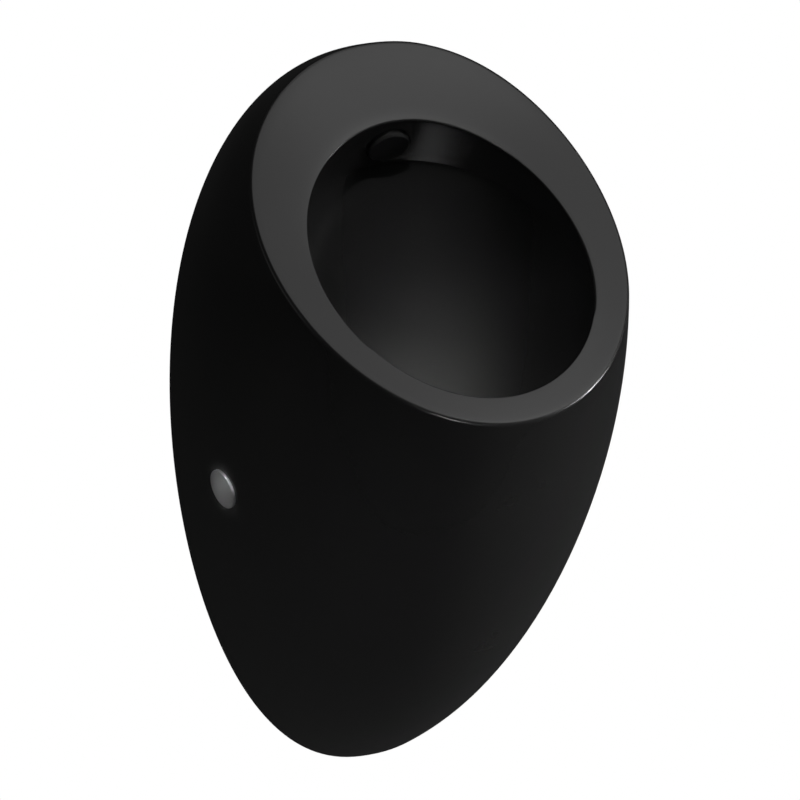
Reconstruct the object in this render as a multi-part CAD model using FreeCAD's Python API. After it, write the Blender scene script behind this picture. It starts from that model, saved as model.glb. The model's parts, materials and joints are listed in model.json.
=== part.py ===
import FreeCAD, Part
import os
import math

V = FreeCAD.Vector
X_AXIS = V(1, 0, 0)
Y_AXIS = V(0, 1, 0)
Z_AXIS = V(0, 0, 1)

# ---- driving dimensions, millimetres and degrees ----
# The wall is the plane y = 0 and the front looks along -Y. Heights count up from
# the pointed foot of the body. The finished pieces move down by FIX_Z at the end.

# Egg-shaped body: closed curves in planes that turn about one level line, the hinge,
# which lies on the wall plane just above the body. The first plane is the wall's,
# the last one is the rim's.
BODY_H = 535.0          # length of the outline on the wall
BODY_HALF_W = 146.5     # half width of that outline
HINGE_UP = 12.3         # the hinge above the top of the outline
RIM_ANGLE = 54.0        # from the wall plane to the rim's chord
RIM_L = 316.0           # length of the rim's outline along its chord
RIM_HALF_W = 124.7      # half width of the rim's outline
RIM_HINGE_GAP = 13.0    # from the hinge to the rim's top edge
BELLY = 0.49            # how early the front profile bulges between wall and rim
TAPER_WALL = 0.108      # egg taper of the wall outline
TAPER_RIM = 0.039       # egg taper of the rim outline
SHOULDER = 0.023
BLUNT_WALL = 0.894      # below 1 the ends are blunter than an ellipse
BLUNT_RIM = 0.986
RIM_HOLLOW = 13.0       # deepest dip of the rim face below its chord
RIM_FILLET = 3.0        # outer edge of the rim face
SHELL = 11.0            # thickness of the outer shell
LINER = 10.0            # thickness of the bowl's own wall
PAD_T = 2.0             # foam strip between ceramic and wall

# Opening in the rim face and the bowl behind it
OPEN_HALF_W = 94.8
OPEN_HALF_L = 117.0
OPEN_MID = 190.3        # from the hinge down the chord to the middle of the opening
MOUTH_DEPTH = 22.0      # straight part of the opening's wall
CEILING_DEPTH = 300.0   # how far the widening throat is carried into the bowl
CEILING_HALF_W = 150.0
CEILING_HALF_L = 213.5
BOWL_FLOOR_Z = 215.0
BOWL_FULL_Z = 430.0     # height at which the bowl has its full plan
BOWL_BACK = -24.0       # back wall of the bowl at full plan
BOWL_FRONT = -250.0
BOWL_HALF_W = 98.0
DRAIN_Y = -60.0
SUMP_R = 33.0           # flat round floor about the drain

# Side fixing: the axis leaves the body square to its skin. An M8 screw goes through a
# nylon bush in the shell into a boss on the wall bracket.
SIDE_INSET = 9.9        # from the outline's widest place in to the skin at the screw
SIDE_P = V(SIDE_INSET - BODY_HALF_W, -74.8, 256.1)
SIDE_N = V(-0.966, -0.204, -0.158).normalize()
SIDE_HOLE_R = 10.0
SPOT_R = 14.3
SPOT_DEPTH = 1.0
CAP_R = 14.0
CAP_T = 1.2
CAP_BEVEL = 0.6
CAP_CLIP = 3.4          # how deep the cap's ring reaches into the bush
BUSH_L = 19.0
BUSH_FLANGE_R = 13.0
BUSH_FLANGE_T = 0.8
POCKET_R = 7.6          # room in the bush for the screw's head and the cap's ring
POCKET_L = 8.0
SCREW_R = 4.0           # M8
SCREW_L = 34.0
HEAD_R = 6.5
HEAD_H = 4.0
HEX = 6.0
FIT = 0.05              # radial play of a screwed or pushed fit
LOOSE = 0.3             # radial play between pieces that part
LEG_INSET = 41.0        # from the outline's widest place in to the bracket's leg
BRACKET_X = BODY_HALF_W - LEG_INSET     # inner face of the bracket's leg
BRACKET_T = 3.0
BRACKET_H = 70.0
BRACKET_FOOT = 50.0
BRACKET_REACH = 92.0
BOSS_R = 8.0
BOSS_L = 18.0
WALL_HOLE_INSET = 27.5  # from the leg's inner face in to the holes of its foot
WALL_HOLE_X = BRACKET_X - WALL_HOLE_INSET
WALL_HOLE_GAP = 50.0
WALL_HOLE_R = 4.5
FIX_Z = 261.0           # height of the wall fixing above the foot

# Flush nozzle in the bowl's ceiling and the inlet behind it
NOZZLE_DEPTH = 38.0     # from the rim's chord to the nozzle's axis
NOZZLE_R = 15.0
NOZZLE_OUT = 4.0        # how far the head stands out of the ceiling
NOZZLE_SEAT = 2.0       # flat seat cut into the curved ceiling
NOZZLE_LAND = 1.2       # flat land cut into the outside of that wall
SPRAY_R = 1.3
SHANK_R = 10.4
SHANK_L = 27.0
SHANK_BORE_R = 6.5
NOZZLE_NUT = 27.0       # across flats
NOZZLE_NUT_T = 6.0
ELBOW_R = 13.0
ELBOW_BEND = 30.0       # from the ceiling to the middle of the bend
INLET_R = 10.5
INLET_OUT = 25.0        # how far the inlet enters the wall

# Drain and bottle trap, on one upright axis. The outlet lies in the centre plane.
DRAIN_R = 23.0
DRAIN_WALL = 2.5
DRAIN_FLANGE_R = 30.5
DRAIN_FLANGE_T = 3.0
DRAIN_L = 35.0          # from the sump's floor down to the end of the drain tube
DRAIN_NUT = 56.0        # across flats
DRAIN_NUT_T = 8.0
STRAINER_R = 27.0
STRAINER_T = 2.0
SLOT_R = 2.3
KNOB_R = 3.5
KNOB_H = 7.0
GASKET_T = 1.5
WASHER_T = 2.5
TRAP_R = 30.0
TRAP_WALL = 2.5
TRAP_LOW = 93.0
TRAP_HIGH = 175.0
NECK_R = 27.0
NECK_LAP = 7.0          # how far the neck reaches up round the drain tube
DIP_R = 16.0
DIP_WALL = 1.5
DIP_LOW = 97.0
UNION_R = 31.0
COLLAR = 3.5
BASE_R = 33.5
BASE_T = 3.0
BASE_LAP = 12.0
OUTLET_R = 20.0         # 40 mm waste pipe
OUTLET_WALL = 2.0
OUTLET_Z = 150.0
OUTLET_OUT = 35.0       # how far the outlet enters the wall
SOCKET_WALL = 3.0
SOCKET_END = -8.0       # end of the trap's socket, in front of the wall
SOCKET_L = 18.0
CLAMP_R = 27.5
STOP_R = 22.0           # ring on the waste pipe, just in front of the wall
STOP_T = 2.0

TURN = math.radians(RIM_ANGLE)
HINGE_Z = BODY_H + HINGE_UP
DOWN = V(0, -math.sin(TURN), -math.cos(TURN))    # down the rim's chord
INTO = V(0, math.cos(TURN), -math.sin(TURN))     # from the rim into the bowl
HINGE = V(0, 0, HINGE_Z)


def mix(first, last, share):
    return first + (last - first) * share


def half_curve(points):
    """The half at x >= 0 of a smooth closed curve; the ends lie on x = 0."""
    mirrored = [V(-p.x, p.y, p.z) for p in reversed(points[1:-1])]
    curve = Part.BSplineCurve()
    curve.interpolate(points + mirrored, PeriodicFlag=True)
    curve.segment(curve.FirstParameter, curve.parameter(points[-1]))
    return curve.toShape()


def half_oval(centre, half_w, axis, around=12):
    """Half an ellipse: half_w along X, axis is its other half axis."""
    points = []
    for k in range(around + 1):
        phi = math.pi * k / around
        points.append(centre + X_AXIS * (half_w * math.sin(phi)) - axis * math.cos(phi))
    return half_curve(points)


def both(shape):
    return [shape, shape.mirror(V(0, 0, 0), X_AXIS)]


def face_of(edge):
    return Part.Face(Part.Wire(both(edge)))


def skin(edges, ruled=False):
    """Solid through half curves in planes, mirrored about x = 0."""
    side = Part.makeLoft([Part.Wire([edge]) for edge in edges], False, ruled)
    faces = both(side) + [face_of(edges[0]), face_of(edges[-1])]
    flat = [face for shape in faces for face in shape.Faces]
    shell = Part.Shell(flat)
    shell.sewShape()
    body = Part.Solid(Part.Shell(shell.Faces))
    if body.Volume < 0:
        body.reverse()
    return body


def rim_dip(along):
    """Depth of the rim face below its chord, at a distance from the hinge."""
    share = min(max(along / (RIM_HINGE_GAP + RIM_L), 0.0), 1.0)
    return RIM_HOLLOW * 6.75 * share * (1.0 - share) ** 2


def fan_shape(lead, phi, inset):
    """Distance from the centre plane and from the hinge; lead 0 is the wall, 1 the rim."""
    gap = mix(HINGE_UP, RIM_HINGE_GAP, lead) + inset
    early = (1.0 + BELLY) * lead - BELLY * lead ** 2
    length = mix(BODY_H, RIM_L, early) - 2.0 * inset
    half_w = mix(BODY_HALF_W, RIM_HALF_W, lead ** 2) - inset
    taper = mix(TAPER_WALL, TAPER_RIM, lead ** 2)
    blunt = mix(BLUNT_WALL, BLUNT_RIM, lead)
    cosine = math.cos(phi)
    sine = math.sin(phi)
    side = abs(sine) ** blunt * (1.0 + taper * cosine + SHOULDER * cosine ** 2)
    return math.copysign(half_w * side, sine), gap + length * (1.0 - cosine) / 2.0


def fan_point(turn, phi, inset):
    """A point of the egg in the plane at that turn; phi 0 is its top. The form leads the
    turn where the rim face is hollow, so that it reaches the rim's form on that face."""
    lead = turn
    for _ in range(8):
        along = fan_shape(lead, phi, inset)[1]
        lead = turn / (1.0 - rim_dip(along) / (along * TURN))
    x, along = fan_shape(lead, phi, inset)
    angle = TURN * turn
    return V(x, -along * math.sin(angle), HINGE_Z - along * math.cos(angle))


def egg(inset, first, last, stations=11, around=18):
    edges = []
    for i in range(stations):
        turn = mix(first, last, i / (stations - 1.0))
        points = [fan_point(turn, math.pi * k / around, inset) for k in range(around + 1)]
        edges.append(half_curve(points))
    return skin(edges)


def above_rim(depth):
    """Everything in front of the rim face moved into the body by depth."""
    points = []
    for k in range(25):
        along = mix(-40.0, RIM_HINGE_GAP + RIM_L + 60.0, k / 24.0)
        points.append(HINGE + DOWN * along + INTO * (rim_dip(along) + depth))
    profile = Part.BSplineCurve()
    profile.interpolate(points)
    far = INTO * -250.0
    corners = [points[-1], points[-1] + far, points[0] + far, points[0]]
    edges = [profile.toShape()]
    for k in range(3):
        edges.append(Part.makeLine(corners[k], corners[k + 1]))
    face = Part.Face(Part.Wire(edges))
    face.translate(X_AXIS * -250.0)
    return face.extrude(X_AXIS * 500.0)


def slope_oval(middle, half_w, half_l, depth):
    """Half oval parallel to the rim's chord."""
    centre = HINGE + DOWN * middle + INTO * depth
    return half_oval(centre, half_w, DOWN * half_l)


def mouth(grow):
    edge = slope_oval(OPEN_MID, OPEN_HALF_W + grow, OPEN_HALF_L + grow, -40.0)
    return face_of(edge).extrude(INTO * (40.0 + MOUTH_DEPTH))


def throat(grow):
    top = OPEN_MID - OPEN_HALF_L
    near = slope_oval(OPEN_MID, OPEN_HALF_W + grow, OPEN_HALF_L + grow, MOUTH_DEPTH / 2.0)
    far = slope_oval(
        top + CEILING_HALF_L, CEILING_HALF_W + grow, CEILING_HALF_L + grow, CEILING_DEPTH)
    return skin([near, far], True)


def plan_oval(back, front, half_w, z):
    centre = V(0, (back + front) / 2.0, z)
    return half_oval(centre, half_w, Y_AXIS * ((front - back) / 2.0))


def basin(grow):
    """Bowl as level ovals: a flat round sump that opens to the full plan."""
    edges = []
    for k in range(8):
        phi = math.pi / 2.0 * k / 7.0
        rise = mix(BOWL_FLOOR_Z, BOWL_FULL_Z, 1.0 - math.cos(phi)) - grow
        back = mix(DRAIN_Y + SUMP_R, BOWL_BACK, math.sin(phi)) + grow
        front = mix(DRAIN_Y - SUMP_R, BOWL_FRONT, math.sin(phi)) - grow
        half_w = mix(SUMP_R, BOWL_HALF_W, math.sin(phi)) + grow
        edges.append(plan_oval(back, front, half_w, rise))
    return skin(edges).fuse(face_of(edges[-1]).extrude(Z_AXIS * 200.0))


def bowl(grow):
    return basin(grow).common(throat(grow))


def biggest(shape):
    return max(shape.Solids, key=lambda solid: solid.Volume)


def rim_edges(shape, most_x):
    """Edges on the rim face whose middle lies within most_x of the centre plane."""
    found = []
    for edge in shape.Edges:
        point = edge.valueAt((edge.FirstParameter + edge.LastParameter) / 2.0)
        away = point - HINGE
        on_face = abs(away.dot(INTO) - rim_dip(away.dot(DOWN))) < 0.3
        if on_face and 5.0 < abs(point.x) < most_x:
            found.append(edge)
    return found


def rod(radius, start, direction, length):
    return Part.makeCylinder(radius, length, start, direction)


def ring(outer_r, inner_r, start, direction, length):
    return rod(outer_r, start, direction, length).cut(rod(inner_r, start, direction, length))


def bevel(shape, size, centre):
    """Bevel every circular edge about that centre."""
    edges = [edge for edge in shape.Edges
             if edge.Closed and (edge.CenterOfMass - centre).Length < 0.1]
    return shape.makeChamfer(size, edges)


def hex_bar(across, start, direction, length):
    corner = across / math.sqrt(3.0)
    points = []
    for k in range(7):
        phi = math.pi / 3.0 * k
        points.append(V(corner * math.cos(phi), corner * math.sin(phi), 0))
    bar = Part.Face(Part.makePolygon(points)).extrude(Z_AXIS * length)
    bar.Placement = FreeCAD.Placement(start, FreeCAD.Rotation(Z_AXIS, direction))
    return bar


def nut(across, inner_r, start, direction, length):
    """Hexagonal nut with crowned corners and a plain bore."""
    face_r = across / 2.0 + 0.3
    low = Part.makeCone(face_r, face_r + length, length, start, direction)
    high = Part.makeCone(face_r + length, face_r, length, start, direction)
    body = hex_bar(across, start, direction, length).common(low).common(high)
    return body.cut(rod(inner_r, start, direction, length))


def grip_nut(outer_r, inner_r, collar_r, start, direction, length, collar):
    """Round nut with finger grooves; its far end closes in to a collar."""
    body = rod(outer_r, start, direction, length)
    body = bevel(bevel(body, 0.8, start + direction * length), 0.8, start)
    body = body.cut(rod(inner_r, start, direction, length - collar))
    body = body.cut(rod(collar_r, start, direction, length))
    turn = FreeCAD.Rotation(Z_AXIS, direction)
    for k in range(12):
        phi = math.pi / 6.0 * k
        away = turn.multVec(V(math.cos(phi), math.sin(phi), 0)) * (outer_r + 1.2)
        body = body.cut(rod(2.2, start + away, direction, length))
    return body


def box(x0, x1, y0, y1, z0, z1):
    return Part.makeBox(x1 - x0, y1 - y0, z1 - z0, V(x0, y0, z0))


parts = {}


def add(name, shape):
    parts[name] = biggest(shape)


def add_pair(name, shape):
    """A piece of the left side and its mirror on the right."""
    left, right = both(shape)
    add(name + "_left", left)
    add(name + "_right", right)


# ---- ceramic body ----
TALL = BODY_H + 100.0
outer = biggest(egg(0.0, 0.0, 1.06).cut(above_rim(0.0)))
outer = outer.makeFillet(RIM_FILLET, rim_edges(outer, BODY_HALF_W))
outer = biggest(outer.common(box(-250, 250, -400, -PAD_T, -50, TALL)).cut(mouth(0.0)))
shell_room = egg(SHELL, -0.06, 1.0).cut(above_rim(SHELL))
hollow = biggest(shell_room.cut(bowl(LINER).fuse(mouth(LINER))))
ceramic = biggest(outer.cut(hollow).cut(bowl(0.0)))


def side(depth):
    """Point on the side fixing's axis, at a depth below the skin."""
    return SIDE_P - SIDE_N * depth


SIDE_IN = SIDE_N * -1.0
hole = rod(SIDE_HOLE_R, side(-20.0), SIDE_IN, 60.0)
seat = rod(SPOT_R, side(-20.0), SIDE_IN, 20.0 + SPOT_DEPTH)
for cutter in both(hole.fuse(seat)):
    ceramic = ceramic.cut(cutter)


def drain(z):
    return V(0, DRAIN_Y, z)


UNDER = BOWL_FLOOR_Z - LINER
ceramic = ceramic.cut(rod(DRAIN_R + 1.5, drain(UNDER - 10.0), Z_AXIS, LINER + 20.0))

# the nozzle's axis is square to the bowl's ceiling
NOZZLE = HINGE + DOWN * (OPEN_MID - OPEN_HALF_L) + INTO * NOZZLE_DEPTH
NOZZLE_UP = DOWN * -1.0


def nozzle(distance):
    return NOZZLE + NOZZLE_UP * distance


LAND_AT = LINER - NOZZLE_LAND
ceramic = ceramic.cut(rod(SHANK_R + 1.5, nozzle(-10.0), NOZZLE_UP, 12.0 + LINER))
ceramic = ceramic.cut(rod(NOZZLE_R + 1.0, nozzle(-10.0), NOZZLE_UP, 10.0 + NOZZLE_SEAT))
ceramic = ceramic.cut(rod(NOZZLE_R + 2.0, nozzle(LAND_AT), NOZZLE_UP, NOZZLE_NUT_T + 4.0))
add("ceramic_body", ceramic)

strip = egg(1.0, -0.02, 0.2).cut(egg(SHELL - 1.0, -0.04, 0.25))
add("wall_pad", strip.common(box(-250, 250, -PAD_T, 0, -50, TALL)))

# ---- side fixings, each on one axis through the shell ----
bush = rod(BUSH_FLANGE_R, side(SPOT_DEPTH), SIDE_N, BUSH_FLANGE_T)
bush = bush.fuse(rod(SIDE_HOLE_R - 0.2, side(SPOT_DEPTH), SIDE_IN, BUSH_L - SPOT_DEPTH))
bush = bush.cut(rod(POCKET_R, side(-2.0), SIDE_IN, POCKET_L + 2.0))
bush = bush.cut(rod(SCREW_R + 0.5, side(0.0), SIDE_IN, BUSH_L + 10.0))
add_pair("side_bush", bush)

CAP_LOW = SPOT_DEPTH - 0.2
CAP_TOP = CAP_T + BUSH_FLANGE_T - SPOT_DEPTH + LOOSE
cap = rod(CAP_R, side(CAP_LOW), SIDE_N, CAP_TOP + CAP_LOW)
cap = bevel(cap, CAP_BEVEL, side(-CAP_TOP))
cap = cap.cut(rod(BUSH_FLANGE_R + LOOSE, side(CAP_LOW), SIDE_N, CAP_TOP + CAP_LOW - CAP_T))
CLIP_TOP = CAP_TOP - CAP_T
clip_r = POCKET_R - LOOSE
clip = ring(clip_r, clip_r - 1.5, side(CAP_CLIP - CLIP_TOP), SIDE_N, CAP_CLIP)
add_pair("side_cap", cap.fuse(clip))

HEAD_TOP = POCKET_L - HEAD_H
screw = bevel(rod(HEAD_R, side(POCKET_L), SIDE_N, HEAD_H), 0.6, side(HEAD_TOP))
screw = screw.fuse(rod(SCREW_R, side(POCKET_L), SIDE_IN, SCREW_L))
add_pair("side_screw", screw.cut(hex_bar(HEX, side(HEAD_TOP), SIDE_IN, 2.5)))

# bracket: foot on the wall, leg square to it, tapped boss on the screw's axis
LEG_IN = -BRACKET_X
LEG_OUT = LEG_IN - BRACKET_T
LOW = FIX_Z - BRACKET_H / 2.0
HIGH = FIX_Z + BRACKET_H / 2.0
bracket = box(LEG_OUT, LEG_IN, -BRACKET_REACH, 0, LOW, HIGH)
bracket = bracket.fuse(box(LEG_OUT, LEG_IN + BRACKET_FOOT, -BRACKET_T, 0, LOW, HIGH))
for lift in (-0.5, 0.5):
    start = V(-WALL_HOLE_X, 10, FIX_Z + lift * WALL_HOLE_GAP)
    bracket = bracket.cut(rod(WALL_HOLE_R, start, Y_AXIS * -1, 20))
boss = rod(BOSS_R, side(BUSH_L), SIDE_IN, BOSS_L)
bracket = bracket.removeSplitter().fuse(boss)
add_pair("wall_bracket", bracket.cut(rod(SCREW_R + FIT, side(0.0), SIDE_IN, 60.0)))

# ---- flush nozzle and inlet ----
SEAL_AT = NOZZLE_SEAT - GASKET_T
head = rod(NOZZLE_R, nozzle(-NOZZLE_OUT), NOZZLE_UP, NOZZLE_OUT + SEAL_AT)
spray = bevel(head, 1.2, nozzle(-NOZZLE_OUT)).fuse(rod(SHANK_R, nozzle(0.0), NOZZLE_UP, SHANK_L))
spray = spray.cut(rod(SHANK_BORE_R, nozzle(-SPRAY_R), NOZZLE_UP, SHANK_L + SPRAY_R))
for k in range(5):
    way = FreeCAD.Rotation(NOZZLE_UP, 30.0 * k - 60.0).multVec(INTO)
    spray = spray.cut(rod(SPRAY_R, nozzle(-SPRAY_R) + way * 3.0, way, NOZZLE_R))
add("flush_nozzle", spray)
gasket = ring(NOZZLE_R - 0.5, SHANK_R + LOOSE, nozzle(SEAL_AT), NOZZLE_UP, GASKET_T)
add("nozzle_gasket", gasket)
washer = ring(NOZZLE_R, SHANK_R + LOOSE, nozzle(LAND_AT), NOZZLE_UP, GASKET_T)
add("nozzle_washer", washer)
NUT_AT = LAND_AT + GASKET_T
add("nozzle_nut", nut(NOZZLE_NUT, SHANK_R + FIT, nozzle(NUT_AT), NOZZLE_UP, NOZZLE_NUT_T))

# elbow screwed over the shank; its level end is the inlet
HUB_AT = NUT_AT + NOZZLE_NUT_T + 1.0
bend = nozzle(ELBOW_BEND)
run_out = INLET_OUT - bend.y
elbow = rod(ELBOW_R, nozzle(HUB_AT), NOZZLE_UP, ELBOW_BEND - HUB_AT)
elbow = elbow.fuse(Part.makeSphere(ELBOW_R, bend)).fuse(rod(INLET_R, bend, Y_AXIS, run_out))
elbow = elbow.cut(rod(SHANK_R + FIT, nozzle(HUB_AT), NOZZLE_UP, SHANK_L + 1.0 - HUB_AT))
elbow = elbow.cut(rod(SHANK_BORE_R, nozzle(HUB_AT), NOZZLE_UP, ELBOW_BEND - HUB_AT))
elbow = elbow.cut(Part.makeSphere(SHANK_BORE_R, bend))
elbow = elbow.cut(rod(SHANK_BORE_R, bend, Y_AXIS, run_out))
add("inlet_elbow", elbow)

# ---- drain through the sump ----
FLANGE_Z = BOWL_FLOOR_Z + GASKET_T
FLANGE_TOP = FLANGE_Z + DRAIN_FLANGE_T
PLATE_Z = FLANGE_TOP - STRAINER_T
CUP_R = DRAIN_R - DRAIN_WALL
DRAIN_END = BOWL_FLOOR_Z - DRAIN_L
flange = rod(DRAIN_FLANGE_R, drain(FLANGE_Z), Z_AXIS, DRAIN_FLANGE_T)
flange = bevel(flange, 1.0, drain(FLANGE_TOP))
fitting = flange.fuse(rod(DRAIN_R, drain(DRAIN_END), Z_AXIS, FLANGE_Z - DRAIN_END))
fitting = fitting.cut(rod(CUP_R, drain(DRAIN_END), Z_AXIS, FLANGE_TOP - DRAIN_END))
fitting = fitting.cut(rod(STRAINER_R + LOOSE, drain(PLATE_Z), Z_AXIS, STRAINER_T))
add("drain_fitting", fitting)
gasket = ring(DRAIN_FLANGE_R - 0.5, DRAIN_R + LOOSE, drain(BOWL_FLOOR_Z), Z_AXIS, GASKET_T)
add("drain_gasket", gasket)
washer_z = UNDER - WASHER_T
washer = ring(DRAIN_FLANGE_R, DRAIN_R + LOOSE, drain(washer_z), Z_AXIS, WASHER_T)
add("drain_washer", washer)
back_nut = nut(DRAIN_NUT, DRAIN_R + FIT, drain(washer_z - DRAIN_NUT_T), Z_AXIS, DRAIN_NUT_T)
add("drain_nut", back_nut)

# strainer: pierced plate in the flange's recess, a guide ring below and a knob on top
strainer = bevel(rod(STRAINER_R, drain(PLATE_Z), Z_AXIS, STRAINER_T), 0.5, drain(FLANGE_TOP))
for count, radius in ((6, 8.0), (12, 15.0)):
    for k in range(count):
        phi = 2.0 * math.pi * k / count
        place = V(radius * math.cos(phi), radius * math.sin(phi), 0)
        strainer = strainer.cut(rod(SLOT_R, drain(PLATE_Z) + place, Z_AXIS, STRAINER_T))
guide_r = CUP_R - LOOSE
guide = ring(guide_r, guide_r - 1.5, drain(PLATE_Z - 9.0), Z_AXIS, 10.0)
knob_top = drain(PLATE_Z + KNOB_H)
knob = bevel(rod(KNOB_R, drain(PLATE_Z), Z_AXIS, KNOB_H), 1.0, knob_top)
add("drain_strainer", strainer.fuse(guide).fuse(knob))

# ---- bottle trap and outlet ----
NECK_TOP = DRAIN_END + NECK_LAP
NECK_IN = DRAIN_R + 0.5
SOCKET_R = OUTLET_R + SOCKET_WALL
TRAP_IN = TRAP_R - TRAP_WALL
body = rod(TRAP_R, drain(TRAP_LOW), Z_AXIS, TRAP_HIGH - TRAP_LOW)
body = body.fuse(rod(NECK_R, drain(OUTLET_Z), Z_AXIS, NECK_TOP - OUTLET_Z))
body = body.fuse(rod(SOCKET_R, drain(OUTLET_Z), Y_AXIS, SOCKET_END - DRAIN_Y))
body = body.cut(rod(TRAP_IN, drain(TRAP_LOW), Z_AXIS, TRAP_HIGH - TRAP_WALL - TRAP_LOW))
body = body.cut(rod(DIP_R + LOOSE, drain(TRAP_LOW), Z_AXIS, NECK_TOP - TRAP_LOW))
body = body.cut(rod(NECK_IN, drain(TRAP_HIGH), Z_AXIS, NECK_TOP - TRAP_HIGH))
socket_at = V(0, SOCKET_END, OUTLET_Z)
SOCKET_IN = Y_AXIS * -1.0
body = body.cut(rod(OUTLET_R - OUTLET_WALL, socket_at, SOCKET_IN, SOCKET_END - DRAIN_Y))
body = body.cut(rod(OUTLET_R + FIT, socket_at, SOCKET_IN, SOCKET_L))
add("trap_body", body)

UNION_Z = TRAP_HIGH + 3.0
union_l = NECK_TOP + WASHER_T + COLLAR - UNION_Z
union = grip_nut(UNION_R, NECK_R + FIT, DRAIN_R + LOOSE, drain(UNION_Z), Z_AXIS, union_l, COLLAR)
add("trap_union_nut", union)
add("trap_washer", ring(NECK_R - 0.2, DRAIN_R + 0.2, drain(NECK_TOP), Z_AXIS, WASHER_T))

# dip tube: hangs by its collar on the shoulder inside the neck
dip = rod(DIP_R, drain(DIP_LOW), Z_AXIS, TRAP_HIGH - DIP_LOW)
dip = dip.fuse(rod(NECK_IN - LOOSE, drain(TRAP_HIGH), Z_AXIS, DIP_WALL))
dip = dip.cut(rod(DIP_R - DIP_WALL, drain(DIP_LOW), Z_AXIS, TRAP_HIGH + DIP_WALL - DIP_LOW))
add("trap_dip_tube", dip)

BASE_L = BASE_T + GASKET_T + BASE_LAP
BASE_TOP = TRAP_LOW + BASE_LAP
base = grip_nut(BASE_R, TRAP_R + FIT, 5.0, drain(BASE_TOP), Z_AXIS * -1.0, BASE_L, BASE_T)
base = base.fuse(rod(6.0, drain(BASE_TOP - BASE_L), Z_AXIS, BASE_T))
add("trap_base_cap", base)
seal = ring(TRAP_R - 0.2, TRAP_R - 4.0, drain(TRAP_LOW - GASKET_T), Z_AXIS, GASKET_T)
add("trap_base_seal", seal)

pipe_at = V(0, SOCKET_END - SOCKET_L + 1.0, OUTLET_Z)
pipe = ring(OUTLET_R, OUTLET_R - OUTLET_WALL, pipe_at, Y_AXIS, OUTLET_OUT - pipe_at.y)
pipe = bevel(pipe, 0.8, V(0, OUTLET_OUT, OUTLET_Z))
stop = ring(STOP_R, OUTLET_R - 0.5, V(0, -0.5 - STOP_T, OUTLET_Z), Y_AXIS, STOP_T)
add("outlet_pipe", pipe.fuse(stop))
seal = ring(SOCKET_R - 0.2, OUTLET_R + 0.2, socket_at, Y_AXIS, WASHER_T)
add("outlet_seal", seal)
clamp_at = V(0, SOCKET_END - 9.0, OUTLET_Z)
clamp_l = 9.0 + WASHER_T + 2.5
clamp = grip_nut(CLAMP_R, SOCKET_R + FIT, OUTLET_R + LOOSE, clamp_at, Y_AXIS, clamp_l, 2.5)
add("outlet_nut", clamp)

os.makedirs("parts", exist_ok=True)
for name, shape in parts.items():
    shape.translate(V(0, 0, -FIX_Z))
    shape.exportStep("parts/" + name + ".step")
    print(name, shape.isValid(), len(shape.Faces), round(shape.Volume / 1e3, 2), "cm3")
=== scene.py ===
# %% [markdown]
# # A wall hung urinal in black glaze
#
# The object is one hollow casting with a slanted, open rim, a deep bowl behind it and a
# small round cover on each flank. Behind it lie the brackets, the flush inlet and the
# drain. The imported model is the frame: it fixes every place and every size, and the
# pieces made here take its shapes further and give them their finish.

# %% Load the frame and keep its box
import bpy
import bmesh
import json
import math
from mathutils import Matrix, Vector


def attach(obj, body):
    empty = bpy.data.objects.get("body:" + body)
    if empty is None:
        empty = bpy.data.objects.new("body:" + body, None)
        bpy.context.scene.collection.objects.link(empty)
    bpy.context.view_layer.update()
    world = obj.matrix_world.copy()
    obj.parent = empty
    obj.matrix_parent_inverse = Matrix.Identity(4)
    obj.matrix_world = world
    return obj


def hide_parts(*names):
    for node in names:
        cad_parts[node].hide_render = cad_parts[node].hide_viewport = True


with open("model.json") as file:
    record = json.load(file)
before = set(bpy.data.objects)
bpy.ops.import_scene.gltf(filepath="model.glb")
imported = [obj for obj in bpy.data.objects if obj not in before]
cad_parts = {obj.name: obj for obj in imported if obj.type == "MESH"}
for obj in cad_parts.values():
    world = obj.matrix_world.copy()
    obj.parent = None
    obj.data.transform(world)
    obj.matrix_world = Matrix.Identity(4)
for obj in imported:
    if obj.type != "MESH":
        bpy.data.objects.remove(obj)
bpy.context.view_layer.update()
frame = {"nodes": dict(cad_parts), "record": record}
nodes = frame["nodes"]

# %% [markdown]
# ## Sizes
# Everything is in metres. The casting's outline on the wall, its rim and its bowl are the
# same few sizes that the frame was drawn with, so the shape made here lies on it.
# Heights count from the centre of the four wall screws.

# %% Sizes of the casting
MM = 0.001
FOOT = -261.0 * MM          # the casting's foot
BODY_H = 535.0 * MM         # outline on the wall
BODY_HALF_W = 146.5 * MM
HINGE_UP = 12.3 * MM        # all sections turn about a level line above the outline
HINGE = Vector((0, 0, FOOT + BODY_H + HINGE_UP))
RIM_TURN = math.radians(54.0)
RIM_L = 316.0 * MM
RIM_HALF_W = 124.7 * MM
RIM_GAP = 13.0 * MM         # from the hinge to the rim's top edge
RIM_HOLLOW = 13.0 * MM      # deepest dip of the rim face
BELLY = 0.49                # how early the front bulges between wall and rim
TAPER_WALL, TAPER_RIM = 0.108, 0.039
BLUNT_WALL, BLUNT_RIM = 0.894, 0.986    # below 1 the ends are blunter than an ellipse
SHOULDER = 0.023
SHELL = 11.0 * MM           # wall thickness of the outer skin
LINER = 10.0 * MM           # wall thickness of the bowl
PAD = 2.0 * MM              # foam strip behind the casting
OPEN_HALF_W = 94.8 * MM
OPEN_HALF_L = 117.0 * MM
OPEN_MID = 190.3 * MM       # from the hinge down the rim to the middle of the mouth
DOWN = Vector((0, -math.sin(RIM_TURN), -math.cos(RIM_TURN)))
INTO = Vector((0, math.cos(RIM_TURN), -math.sin(RIM_TURN)))
COLUMNS = 192
print("rim chord", round(RIM_L, 3), "m,", round(math.degrees(RIM_TURN)), "degrees from the wall")

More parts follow.
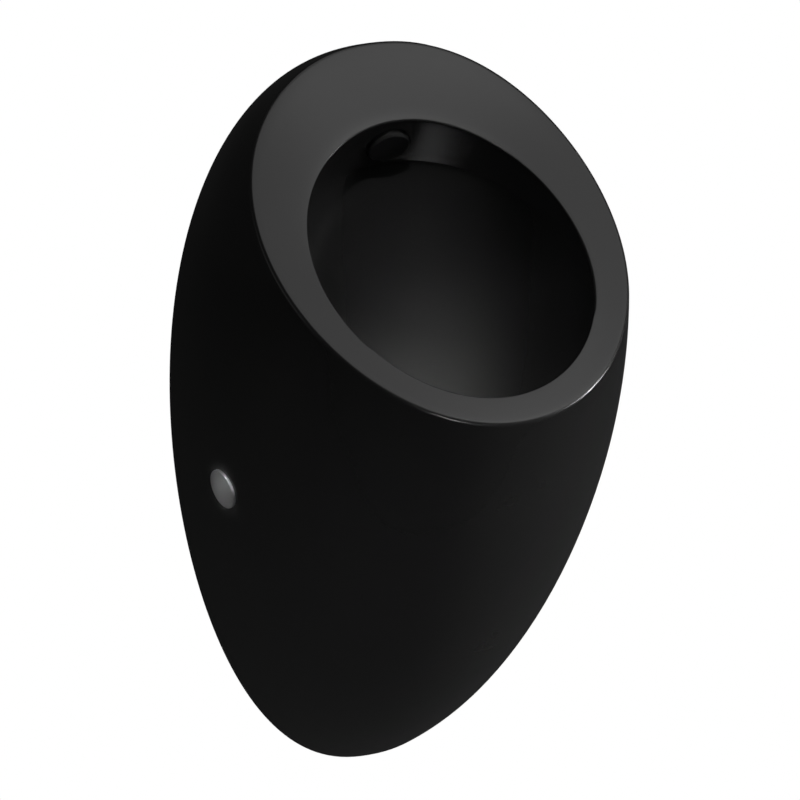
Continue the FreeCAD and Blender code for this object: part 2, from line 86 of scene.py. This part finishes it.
# %% [markdown]
# ## The casting as columns
# A slip-cast body is one closed skin. It starts at the wall, runs over the outside to the
# rim, across the rim face, down the mouth and the bowl to the drain hole, and back up the
# hidden side to the wall. A cut through it at one angle is one line, a column. With the
# same number of points in every column, the points of equal rank make rings, and each ring
# is the last one extruded and moved. That gives clean quads all round, which a satin black
# surface needs, because it shows every dent in its reflections.

# %% Outer form: sections that turn from the wall to the rim
HOLLOW_SCALE = 6.75         # share * (1 - share) ** 2 peaks at 1 / 6.75, at a third


def mix(a, b, share):
    return a + (b - a) * share


def rim_dip(along):
    """How deep the rim face is hollowed at a distance from the hinge."""
    share = min(max(along / (RIM_GAP + RIM_L), 0.0), 1.0)
    return RIM_HOLLOW * HOLLOW_SCALE * share * (1.0 - share) ** 2


def section(lead, phi, inset):
    """Width and distance from the hinge at angle phi; lead is 0 on the wall, 1 on the rim."""
    length = mix(BODY_H, RIM_L, (1.0 + BELLY) * lead - BELLY * lead * lead) - 2.0 * inset
    half_w = mix(BODY_HALF_W, RIM_HALF_W, lead * lead) - inset
    taper = mix(TAPER_WALL, TAPER_RIM, lead * lead)
    cosine, sine = math.cos(phi), math.sin(phi)
    blunt = mix(BLUNT_WALL, BLUNT_RIM, lead)
    width = abs(sine) ** blunt * (1.0 + taper * cosine + SHOULDER * cosine ** 2)
    gap = mix(HINGE_UP, RIM_GAP, lead) + inset
    return math.copysign(half_w * width, sine), gap + length * (1.0 - cosine) / 2.0


def outer_point(turn, phi, inset=0.0):
    """A point of the skin. The hollow rim makes the section lead its turn a little."""
    lead = turn
    for _ in range(8):
        along = section(lead, phi, inset)[1]
        lead = turn / (1.0 - rim_dip(along) / (along * RIM_TURN))
    x, along = section(lead, phi, inset)
    angle = RIM_TURN * turn
    return HINGE + Vector((x, -along * math.sin(angle), -along * math.cos(angle)))


def under_rim(point):
    """How far a point lies behind the hollow rim face."""
    away = point - HINGE
    return away.dot(INTO) - rim_dip(away.dot(DOWN))


def search(low, high, test, steps=30):
    """The value between low and high at which test turns from true to false."""
    for _ in range(steps):
        middle = (low + high) / 2.0
        if test(middle):
            low = middle
        else:
            high = middle
    return (low + high) / 2.0


def outer_line(phi, inset, depth, count=36):
    """From the wall to the plane that lies depth behind the rim face."""
    first = search(0.0, 0.9, lambda t: outer_point(t, phi, inset).y > -PAD)
    last = search(first, 1.05, lambda t: under_rim(outer_point(t, phi, inset)) > depth)
    return [outer_point(mix(first, last, k / (count - 1.0)), phi, inset) for k in range(count)]


top = outer_line(0.0, 0.0, 0.0)
print("top of the rim at z", round(top[-1].z, 4), "and its lip at y",
      round(outer_line(math.pi, 0.0, 0.0)[-1].y, 4))

# %% [markdown]
# The rim face isn't flat. It is hollow along its length, deepest a third of the way down,
# so it is drawn as straight lines across the face that are then lowered by that hollow.
# The mouth goes straight in and then widens into the throat.

# %% Rim face, mouth and throat
MOUTH_DEPTH = 11.0 * MM     # straight part of the mouth
THROAT_DEPTH = 300.0 * MM   # depth at which the throat would reach its full width
THROAT_HALF_W = 150.0 * MM
THROAT_HALF_L = 213.5 * MM


def on_slope(x, along, depth):
    """A point at a distance down the rim's chord and a depth behind it."""
    return HINGE + DOWN * along + INTO * depth + Vector((x, 0, 0))


def throat_point(phi, depth, grow=0.0):
    """A point of the mouth or the throat; grow moves it out, to the hidden side."""
    share = max(depth - MOUTH_DEPTH, 0.0) / (THROAT_DEPTH - MOUTH_DEPTH)
    half_l = mix(OPEN_HALF_L, THROAT_HALF_L, share)
    middle = OPEN_MID - OPEN_HALF_L + half_l
    x = (mix(OPEN_HALF_W, THROAT_HALF_W, share) + grow) * math.sin(phi)
    return on_slope(x, middle - (half_l + grow) * math.cos(phi), depth)


def face_line(start, end, depth, count=9):
    """Across the rim face, or across its hidden side at that depth."""
    a, b = start - HINGE, end - HINGE
    line = []
    for k in range(count):
        share = k / (count - 1.0)
        along = mix(a.dot(DOWN), b.dot(DOWN), share)
        line.append(on_slope(mix(a.x, b.x, share), along, rim_dip(along) + depth))
    return line


print("mouth", round(2 * OPEN_HALF_W, 4), "x", round(2 * OPEN_HALF_L, 4), "m")

# %% [markdown]
# The bowl is a stack of level ovals: a small round sump that opens, along a quarter of an
# ellipse, to the full plan. Where the throat meets the bowl's back wall there is a crease.
# It is found by following each throat line until it leaves the bowl's plan.

# %% Bowl and the crease where the throat meets it
FLOOR = FOOT + 215.0 * MM
FULL = FOOT + 430.0 * MM
BOWL_BACK = -24.0 * MM
BOWL_FRONT = -250.0 * MM
BOWL_HALF_W = 98.0 * MM
DRAIN_Y = -60.0 * MM
SUMP_R = 33.0 * MM          # flat round floor about the drain
DEEPEST = 200.0 * MM        # past the crease on every throat line
SHORTEST = 0.5 * MM
THROAT_STEPS = 11
BOWL_STEPS = 60


def bowl_plan(u, grow):
    """Height, middle, half length and half width of the bowl's oval; u is 0 at the floor."""
    back = mix(DRAIN_Y + SUMP_R, BOWL_BACK, math.sin(u)) + grow
    front = mix(DRAIN_Y - SUMP_R, BOWL_FRONT, math.sin(u)) - grow
    half_w = mix(SUMP_R, BOWL_HALF_W, math.sin(u)) + grow
    height = mix(FLOOR, FULL, 1.0 - math.cos(u)) - grow
    return height, (back + front) / 2.0, (back - front) / 2.0, half_w


def bowl_u(z, grow):
    """The u at which the bowl's oval has height z."""
    share = (z + grow - FLOOR) / (FULL - FLOOR)
    return math.acos(1.0 - min(max(share, 0.0), 1.0))


def bowl_angle(point, grow):
    """Angle in plan and distance from the middle, 1 on the bowl's wall."""
    height, middle, half_l, half_w = bowl_plan(bowl_u(point.z, grow), grow)
    a, b = point.x / half_w, (point.y - middle) / half_l
    return math.atan2(a, b), math.hypot(a, b)


def throat_lines(phi, start_depth, grow):
    """The throat from start_depth to the crease, and the bowl from there to its floor."""
    def in_bowl(depth):
        return bowl_angle(throat_point(phi, depth, grow), grow)[1] < 1.0

    last = max(search(start_depth, DEEPEST, in_bowl), start_depth + SHORTEST)
    wall = [throat_point(phi, mix(start_depth, last, k / THROAT_STEPS), grow)
            for k in range(THROAT_STEPS + 1)]
    theta = bowl_angle(wall[-1], grow)[0]
    u_top = bowl_u(wall[-1].z, grow)
    bowl = [wall[-1]]
    for k in range(1, BOWL_STEPS + 1):
        height, middle, half_l, half_w = bowl_plan(u_top * (1.0 - k / BOWL_STEPS), grow)
        bowl.append(Vector((half_w * math.sin(theta), middle + half_l * math.cos(theta), height)))
    return wall, bowl


crease = throat_lines(0.0, MOUTH_DEPTH, 0.0)[1][0]
print("crease at the back: y", round(crease.y, 4), "z", round(crease.z, 4))

# %% [markdown]
# Each column is joined from those lines. A corner becomes a short arc, because glaze runs
# back from an edge and no fired edge is sharp: the rim's outer edge and the lip of the
# mouth both end in a small round that catches the light.

# %% Helpers that measure, trim and round a line
TRIM_MOST = 0.4             # share of a line that one corner may take


def lengths(line):
    """Distance from the line's start to each of its points."""
    total = [0.0]
    for a, b in zip(line, line[1:]):
        total.append(total[-1] + (b - a).length)
    return total


def at(line, total, distance):
    """The point of the line at that distance from its start."""
    for k in range(1, len(line)):
        if distance <= total[k] or k == len(line) - 1:
            span = max(total[k] - total[k - 1], 1e-9)
            share = (distance - total[k - 1]) / span
            return line[k - 1].lerp(line[k], min(max(share, 0.0), 1.0))


def trim(line, start, end, count):
    """Evenly spaced points of a line, without its first and last stretch."""
    total = lengths(line)
    most = total[-1] * TRIM_MOST
    low, high = min(start, most), total[-1] - min(end, most)
    return [at(line, total, mix(low, high, k / (count - 1.0))) for k in range(count)]


def arc(before, corner, after, steps):
    """Points strictly between before and after, on a curve pulled towards the corner."""
    points = []
    for k in range(1, steps):
        s = k / float(steps)
        points.append(before.lerp(corner, s).lerp(corner.lerp(after, s), s))
    return points


face = face_line(outer_line(0.0, 0.0, 0.0)[-1], throat_point(0.0, 0.0), 0.0)
print("rim face, at the top:", round(lengths(face)[-1], 4), "m wide")

# %% [markdown]
# Eleven lines make one column. Each has its number of points, the distance by which it
# stops short of its corner, and the number of steps in the arc that rounds that corner.
# Visible corners get more steps than hidden ones.

# %% Join the lines of one column
RIM_ROUND = 2.6 * MM        # outer edge of the rim face
LIP_ROUND = 1.8 * MM        # lip of the mouth
CREASE_ROUND = 3.0 * MM     # crease between throat and bowl, and hidden corners
BACK_ROUND = 2.0 * MM       # where the throat's hidden side meets the rim's
HOLE_ROUND = 1.0 * MM
DRAIN_HOLE_R = 24.5 * MM
UNDER_ALONG = 190.0 * MM    # the dip here sets how deep the throat's hidden side starts


def column(phi):
    """All points of the casting's cut at one angle, from the wall round to the wall."""
    outside = outer_line(phi, 0.0, 0.0)
    lip = throat_point(phi, rim_dip(OPEN_MID - OPEN_HALF_L * math.cos(phi)))
    face = face_line(outside[-1], lip, 0.0)
    throat, bowl = throat_lines(phi, (lip - HINGE).dot(INTO), 0.0)
    theta = bowl_angle(throat[-1], 0.0)[0]
    spoke = Vector((math.sin(theta), math.cos(theta), 0))
    hole = Vector((0, DRAIN_Y, FLOOR)) + spoke * DRAIN_HOLE_R
    hole_low = hole - Vector((0, 0, LINER))
    back_throat, back_bowl = throat_lines(phi, rim_dip(UNDER_ALONG) + SHELL, LINER)
    inside = outer_line(phi, SHELL, SHELL, 20)
    under = face_line(back_throat[0], inside[-1], SHELL)
    back_throat[0] = under[0]
    runs = [
        (outside, 34, RIM_ROUND, 6),
        (face, 8, LIP_ROUND, 5),
        (throat, 9, CREASE_ROUND, 3),
        (bowl, 30, 0.0, 1),
        ([bowl[-1], hole], 3, HOLE_ROUND, 3),
        ([hole, hole_low], 3, 0.0, 1),
        ([hole_low, back_bowl[-1]], 3, CREASE_ROUND, 3),
        (back_bowl[::-1], 20, CREASE_ROUND, 3),
        (back_throat[::-1], 6, BACK_ROUND, 3),
        (under, 6, CREASE_ROUND, 3),
        (inside[::-1], 18, 0.0, 1),
    ]
    points = []
    start = 0.0
    for k, (line, count, end, steps) in enumerate(runs):
        cut = trim(line, start, end, count)
        if start > 0.0:
            points += arc(points[-1], line[0], cut[0], runs[k - 1][3])
        if start > 0.0 or not points:
            points += cut
        else:
            points += cut[1:]
        start = end
    return points


columns = [column(2.0 * math.pi * k / COLUMNS) for k in range(COLUMNS)]
print("columns of", sorted(set(map(len, columns))), "points")

# %% [markdown]
# A ring starts as a circle from the operator. Each vertex carries the number of its column
# in a layer, which extrusion copies, so the new ring's vertices know where they belong.

# %% Extrude ring after ring
SHARP = math.radians(38.0)


def ring_mesh(columns):
    """One closed skin of quads, whose last ring is bridged to the first."""
    bm = bmesh.new()
    rank = bm.verts.layers.int.new("column")
    made = bmesh.ops.create_circle(bm, segments=len(columns), radius=1.0)
    for k, v in enumerate(made["verts"]):
        v[rank] = k
        v.co = columns[k][0]
    first = list(bm.edges)
    edges = first
    for level in range(1, len(columns[0])):
        made = bmesh.ops.extrude_edge_only(bm, edges=edges)["geom"]
        for v in made:
            if isinstance(v, bmesh.types.BMVert):
                v.co = columns[v[rank]][level]
        edges = [e for e in made if isinstance(e, bmesh.types.BMEdge)]
    bmesh.ops.bridge_loops(bm, edges=first + edges)
    bmesh.ops.recalc_face_normals(bm, faces=bm.faces)
    return bm


def keep(name, bm):
    """Make the mesh an object, shaded smooth except at sharp angles."""
    mesh = bpy.data.meshes.new(name)
    bm.to_mesh(mesh)
    bm.free()
    mesh.shade_smooth()
    mesh.set_sharp_from_angle(angle=SHARP)
    obj = bpy.data.objects.new(name, mesh)
    bpy.context.collection.objects.link(obj)
    return obj


casting = keep("glazed_casting", ring_mesh(columns))
print("casting:", len(casting.data.polygons), "faces")

# %% [markdown]
# ## Holes
# The screw passes through a hole in each flank, with a shallow flat seat round it for the
# cover. The bowl's ceiling has one more hole with a seat, for the flush nozzle. Each is one
# boolean cut with a stepped cutter, a profile spun about its axis, so hole and seat agree.

# %% Cut the side holes and the nozzle's hole
SIDE = Vector((-136.6, -74.8, -4.9)) * MM       # on the skin, on the left screw's axis
OUTWARD = Vector((-0.966, -0.204, -0.158)).normalized()


def turned(profile, steps=64):
    """A closed ring of faces: the profile, as (radius, height) pairs, spun about Z."""
    bm = bmesh.new()
    verts = [bm.verts.new((r, 0.0, h)) for r, h in profile]
    edges = [bm.edges.new(pair) for pair in zip(verts, verts[1:])]
    bmesh.ops.spin(bm, geom=verts + edges, cent=(0, 0, 0), axis=(0, 0, 1),
                   angle=2.0 * math.pi, steps=steps, use_merge=True)
    bmesh.ops.remove_doubles(bm, verts=bm.verts, dist=1e-6)
    bmesh.ops.recalc_face_normals(bm, faces=bm.faces)
    return bm


def place(bm, origin, axis):
    """Turn the mesh's Z to the axis and move it to the origin given."""
    turn = Vector((0, 0, 1)).rotation_difference(axis).to_matrix().to_4x4()
    bmesh.ops.transform(bm, matrix=Matrix.Translation(origin) @ turn, verts=bm.verts)
    return bm


def mirrored(v):
    return Vector((-v.x, v.y, v.z))


def cut(obj, cutter):
    """Subtract the cutter from the object and delete it."""
    modifier = obj.modifiers.new("cut", "BOOLEAN")
    modifier.operation = "DIFFERENCE"
    modifier.solver = "EXACT"
    modifier.object = cutter
    depsgraph = bpy.context.evaluated_depsgraph_get()
    shaped = bpy.data.meshes.new_from_object(obj.evaluated_get(depsgraph))
    obj.modifiers.clear()
    obj.data = shaped
    bpy.data.objects.remove(cutter)


def stepped(seat_r, seat, hole_r, front, back):
    """Half profile of a cutter: wide down to the seat, then as narrow as the hole."""
    return [(0, front), (seat_r, front), (seat_r, seat), (hole_r, seat), (hole_r, back), (0, back)]


COVER_SEAT = stepped(14.3 * MM, -1.0 * MM, 10.0 * MM, 20.0 * MM, -40.0 * MM)
NOZZLE_SEAT = stepped(16.0 * MM, -2.0 * MM, 11.9 * MM, 10.0 * MM, -16.0 * MM)
NOZZLE = on_slope(0, OPEN_MID - OPEN_HALF_L, 38.0 * MM)
holes = [(SIDE, OUTWARD, COVER_SEAT), (mirrored(SIDE), mirrored(OUTWARD), COVER_SEAT),
         (NOZZLE, DOWN, NOZZLE_SEAT)]
for origin, axis, profile in holes:
    cut(casting, keep("cutter", place(turned(profile), origin, axis)))
casting.data.shade_smooth()
casting.data.set_sharp_from_angle(angle=SHARP)
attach(casting, "urinal")
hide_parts("ceramic_body")
print("casting with", len(holes), "holes:", len(casting.data.polygons), "faces")

# %% [markdown]
# ## Finishes
# Every finish is a Principled shader with noise from Object coordinates behind it. One
# helper lays out the same few nodes each time: a large, soft noise that shifts the colour
# and the roughness a little, and a fine one that becomes bump.

# %% A helper for finishes
def finish(name, color, second, roughness, spread, metallic=0.0, patch=30.0, grain=900.0,
           bump=0.05, height=0.0001, stretch=(1, 1, 1), specular=0.5):
    """Colour and roughness drift between two values; patch and grain are noise scales."""
    material = bpy.data.materials.new(name)
    material.use_nodes = True
    tree = material.node_tree
    shader = tree.nodes["Principled BSDF"]
    shader.inputs["Metallic"].default_value = metallic
    shader.inputs["Specular IOR Level"].default_value = specular
    coords = tree.nodes.new("ShaderNodeTexCoord")
    mapping = tree.nodes.new("ShaderNodeMapping")
    mapping.inputs["Scale"].default_value = stretch
    tree.links.new(coords.outputs["Object"], mapping.inputs["Vector"])

    def noise(scale, detail):
        node = tree.nodes.new("ShaderNodeTexNoise")
        node.inputs["Scale"].default_value = scale
        node.inputs["Detail"].default_value = detail
        tree.links.new(mapping.outputs["Vector"], node.inputs["Vector"])
        return node.outputs["Fac"]

    cloud, fine = noise(patch, 3.0), noise(grain, 2.0)
    blend = tree.nodes.new("ShaderNodeMix")
    blend.data_type = "RGBA"
    blend.inputs["A"].default_value = (*color, 1)
    blend.inputs["B"].default_value = (*second, 1)
    tree.links.new(cloud, blend.inputs["Factor"])
    tree.links.new(blend.outputs["Result"], shader.inputs["Base Color"])
    rough = tree.nodes.new("ShaderNodeMapRange")
    rough.inputs["To Min"].default_value = roughness - spread
    rough.inputs["To Max"].default_value = roughness + spread
    tree.links.new(cloud, rough.inputs["Value"])
    tree.links.new(rough.outputs["Result"], shader.inputs["Roughness"])
    relief = tree.nodes.new("ShaderNodeBump")
    relief.inputs["Strength"].default_value = bump
    relief.inputs["Distance"].default_value = height
    tree.links.new(fine, relief.inputs["Height"])
    tree.links.new(relief.outputs["Normal"], shader.inputs["Normal"])
    return material


def wear(obj, material):
    obj.data.materials.clear()
    obj.data.materials.append(material)


glaze = finish("satin_black_glaze", (0.0165, 0.0165, 0.0170), (0.0200, 0.0200, 0.0195),
               0.26, 0.03, patch=14.0, grain=260.0, bump=0.05, height=0.0004)
wear(casting, glaze)
print("glaze on", casting.name)

# %% [markdown]
# The fittings keep the frame's own meshes and get only a finish, chosen by the slot that
# the frame names for them. Metals are zinc plate, satin chrome and brass. Foam, nylon,
# rubber and the moulded trap have no shine to speak of, and the pipe's noise is stretched
# along its length, as an extruded tube shows.

# %% Finishes of the fittings
FINISHES = {
    "foam": finish("foam_strip", (0.12, 0.12, 0.13), (0.18, 0.18, 0.19), 0.85, 0.05,
                   patch=120.0, grain=1400.0, bump=0.6, height=0.0004, specular=0.2),
    "nylon": finish("natural_nylon", (0.68, 0.66, 0.60), (0.75, 0.73, 0.68), 0.45, 0.05,
                    patch=90.0),
    "chrome": finish("satin_chrome", (0.55, 0.55, 0.56), (0.62, 0.62, 0.63), 0.42, 0.03,
                     metallic=1.0, patch=80.0, grain=2200.0, bump=0.04),
    "zinc_steel": finish("zinc_plate", (0.50, 0.51, 0.53), (0.62, 0.62, 0.60), 0.36, 0.08,
                         metallic=1.0, patch=55.0, grain=1500.0, bump=0.08),
    "black_plastic": finish("black_moulding", (0.010, 0.010, 0.010), (0.015, 0.015, 0.015),
                            0.5, 0.04, patch=90.0, bump=0.1, specular=0.3),
    "rubber": finish("black_rubber", (0.018, 0.018, 0.018), (0.03, 0.03, 0.03), 0.72, 0.06,
                     patch=100.0, bump=0.2, specular=0.3),
    "brass": finish("turned_brass", (0.66, 0.48, 0.22), (0.76, 0.58, 0.30), 0.30, 0.06,
                    metallic=1.0, patch=60.0, grain=1800.0, bump=0.06),
    "white_plastic": finish("white_moulding", (0.72, 0.72, 0.70), (0.80, 0.80, 0.78), 0.32, 0.04,
                            patch=45.0, bump=0.05),
    "grey_pipe": finish("grey_pipe", (0.30, 0.31, 0.32), (0.36, 0.37, 0.38), 0.48, 0.05,
                        patch=60.0, bump=0.1, stretch=(1, 0.15, 1)),
}
slot_of = {part["node"]: part["material_slot"] for part in frame["record"]["subparts"]}
for name, node in nodes.items():
    if slot_of[name] in FINISHES:
        wear(node, FINISHES[slot_of[name]])
print("finishes:", len(FINISHES) + 1)

# %% [markdown]
# ## Side covers
# The cover is a flat metal disc with a softly rounded edge, a skirt that ends just off the
# seat, and a ring that clips into the bush. It is round, so a half profile is spun about
# its axis. The edge comes from the bevel operator, which keeps its width even all round.

# %% Side covers
COVER_R = 14.0 * MM
COVER_TOP = 1.3 * MM
COVER_UNDER = 0.1 * MM      # underside, which lies on the bush
COVER_LOW = -0.8 * MM       # foot of the skirt, just off the seat
SKIRT_R = 13.3 * MM
CLIP_R = 7.3 * MM
CLIP_IN = 5.8 * MM
CLIP_LOW = -3.2 * MM
COVER_EDGE = 0.6 * MM
NEAR = 0.001 * MM


def cover(name, origin, axis, body, node):
    """A cover on its axis, riding its own body in place of the frame's cap."""
    profile = [(0, COVER_TOP), (COVER_R, COVER_TOP), (COVER_R, COVER_LOW), (SKIRT_R, COVER_LOW),
               (SKIRT_R, COVER_UNDER), (CLIP_R, COVER_UNDER), (CLIP_R, CLIP_LOW),
               (CLIP_IN, CLIP_LOW), (CLIP_IN, COVER_UNDER), (0, COVER_UNDER)]
    bm = turned(profile, 96)
    corner = [e for e in bm.edges
              if all(abs(v.co.z - COVER_TOP) < NEAR and v.co.xy.length > COVER_R - 10.0 * NEAR
                     for v in e.verts)]
    bmesh.ops.bevel(bm, geom=corner, offset=COVER_EDGE, offset_type="OFFSET", segments=3,
                    profile=0.5, affect="EDGES", material=-1)
    piece = keep(name, place(bm, origin, axis))
    wear(piece, FINISHES["chrome"])
    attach(piece, body)
    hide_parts(node)
    return piece


cover_left = cover("cover_left", SIDE, OUTWARD, "left_cap", "side_cap_left")
cover_right = cover("cover_right", mirrored(SIDE), mirrored(OUTWARD),
                    "right_cap", "side_cap_right")
print("covers:", cover_left.name, cover_right.name, "faces", len(cover_left.data.polygons))

# %% [markdown]
# ## Studio
# The floor and the world are plain white to the camera and behind glass. Mirror rays see a
# small share of that white: the photograph's glaze reflects no bright room, and with the
# full share its flanks would turn grey. To everything else both are dim, so the white
# ground adds no light to the black glaze.

# %% World
GLOSSY_SHARE = 0.012
WORLD_DIM = (0.012, 0.012, 0.012, 1)


def seen_white(tree, target):
    """White to camera and transmission rays, and by a small share to glossy ones."""
    path = tree.nodes.new("ShaderNodeLightPath")
    share = tree.nodes.new("ShaderNodeMath")
    share.operation = "MULTIPLY"
    share.inputs[1].default_value = GLOSSY_SHARE
    tree.links.new(path.outputs["Is Glossy Ray"], share.inputs[0])
    most = share.outputs[0]
    for name in ("Is Camera Ray", "Is Transmission Ray"):
        node = tree.nodes.new("ShaderNodeMath")
        node.operation = "MAXIMUM"
        tree.links.new(most, node.inputs[0])
        tree.links.new(path.outputs[name], node.inputs[1])
        most = node.outputs[0]
    tree.links.new(most, target)


world = bpy.data.worlds.new("studio")
bpy.context.scene.world = world
world.use_nodes = True
tree = world.node_tree
background = tree.nodes["Background"]
white = tree.nodes.new("ShaderNodeBackground")
white.inputs["Color"].default_value = (1, 1, 1, 1)
background.inputs["Color"].default_value = WORLD_DIM
chosen = tree.nodes.new("ShaderNodeMixShader")
tree.links.new(background.outputs[0], chosen.inputs[1])
tree.links.new(white.outputs[0], chosen.inputs[2])
tree.links.new(chosen.outputs[0], tree.nodes["World Output"].inputs["Surface"])
seen_white(tree, chosen.inputs[0])
print("world:", world.name)

# %% [markdown]
# The object hangs on a wall that the photograph doesn't show, so the floor lies well below
# it. It is plain and pale, and as white as the world to the camera.

# %% Floor
FLOOR_Z = -2.0
FLOOR_HALF = 12.0
bm = bmesh.new()
bmesh.ops.create_grid(bm, x_segments=2, y_segments=2, size=FLOOR_HALF)
bmesh.ops.translate(bm, vec=(0, 0, FLOOR_Z), verts=bm.verts)
floor = keep("floor", bm)
paint = bpy.data.materials.new("pale_floor")
paint.use_nodes = True
tree = paint.node_tree
shader = tree.nodes["Principled BSDF"]
shader.inputs["Base Color"].default_value = (0.35, 0.35, 0.35, 1)
shader.inputs["Roughness"].default_value = 0.9
glow = tree.nodes.new("ShaderNodeEmission")
chosen = tree.nodes.new("ShaderNodeMixShader")
tree.links.new(shader.outputs[0], chosen.inputs[1])
tree.links.new(glow.outputs[0], chosen.inputs[2])
tree.links.new(chosen.outputs[0], tree.nodes["Material Output"].inputs["Surface"])
seen_white(tree, chosen.inputs[0])
wear(floor, paint)
print("floor at", FLOOR_Z)

# %% [markdown]
# One large softbox hangs over the right shoulder and lights the rim, which faces up. A
# smaller key beside it makes the rim's top a little brighter. Three more stand low, in
# front and on both sides, for the flanks. Two of those, and the last four lamps, have a
# narrow spread, like boxes with a honeycomb grid. So the low ones miss the bowl, and the
# last four reach what the others can't: the low end of the bowl, its back wall, the cover,
# and the fittings in the hollow back.

# %% Lamps
def lamp(name, turn, lift, away, size, power, spread=180.0, aim=(0, -0.1, 0)):
    """Turn to the right of the front and lift above level, in degrees, seen from the aim."""
    a, e = math.radians(turn), math.radians(lift)
    towards = Vector((math.sin(a) * math.cos(e), -math.cos(a) * math.cos(e), math.sin(e)))
    light = bpy.data.lights.new(name, "AREA")
    light.shape = "SQUARE"
    light.size = size
    light.energy = power
    light.spread = math.radians(spread)
    obj = bpy.data.objects.new(name, light)
    bpy.context.collection.objects.link(obj)
    obj.location = Vector(aim) + towards * away
    obj.rotation_euler = towards.to_track_quat("Z", "Y").to_euler()
    return obj


# name, turn, lift, away, size, power, spread, aim
lamp("overhead", 68, 66, 2.0, 1.8, 8.2)
lamp("key", 50, 58, 2.2, 0.9, 2.4)
lamp("skim", 62, 18, 2.0, 0.5, 0.72, 13.0, (0.03, -0.12, -0.10))
lamp("front", -15, 8, 2.2, 0.5, 0.24, 10.0, (0, -0.12, -0.15))
lamp("left", -105, 20, 2.2, 1.2, 0.8)
lamp("bowl_low", -6, 48, 1.5, 0.09, 0.105, 4.2, (0.013, -0.124, 0.095))
lamp("bowl_wall", -20, 56, 1.5, 0.12, 0.027, 3.2, (-0.005, -0.055, 0.14))
lamp("cover_light", -62, 30, 1.0, 0.02, 0.0036, 1.0, SIDE)
lamp("behind", 180, -4, 2.0, 0.10, 0.06, 5.0, (0, 0, -0.06))

# %% [markdown]
# ## Camera
# The photograph looks down by 22 degrees and from 23 degrees to the left of the front. It
# was taken from far away with a long lens, so the verticals stay parallel.

# %% Camera
LENS = 272.7
SENSOR = 36.0
DISTANCE = 4.131
TARGET = Vector((0.0, -0.110, 0.0065))
FOCAL_PX = 6060.0           # the lens in pixels of a picture 800 wide
TARGET_RIGHT_PX = 28.84     # how far the target stands off the picture's middle
TARGET_LOW_PX = 62.06
camera_data = bpy.data.cameras.new("camera")
camera_data.sensor_width = SENSOR
camera_data.lens = LENS
camera_data.clip_end = 50.0
camera = bpy.data.objects.new("camera", camera_data)
bpy.context.collection.objects.link(camera)
bpy.context.scene.camera = camera
side, lift = math.radians(-22.919), math.radians(22.216)
back = Vector((math.sin(side) * math.cos(lift), -math.cos(side) * math.cos(lift), math.sin(lift)))
right = (-back).cross(Vector((0, 0, 1))).normalized()
up = right.cross(-back)
look = -back - right * (TARGET_RIGHT_PX / FOCAL_PX) + up * (TARGET_LOW_PX / FOCAL_PX)
camera.location = TARGET + back * DISTANCE
camera.rotation_euler = look.normalized().to_track_quat("-Z", "Y").to_euler()
bpy.context.scene.view_settings.view_transform = "Standard"
print("camera at", [round(c, 3) for c in camera.location])
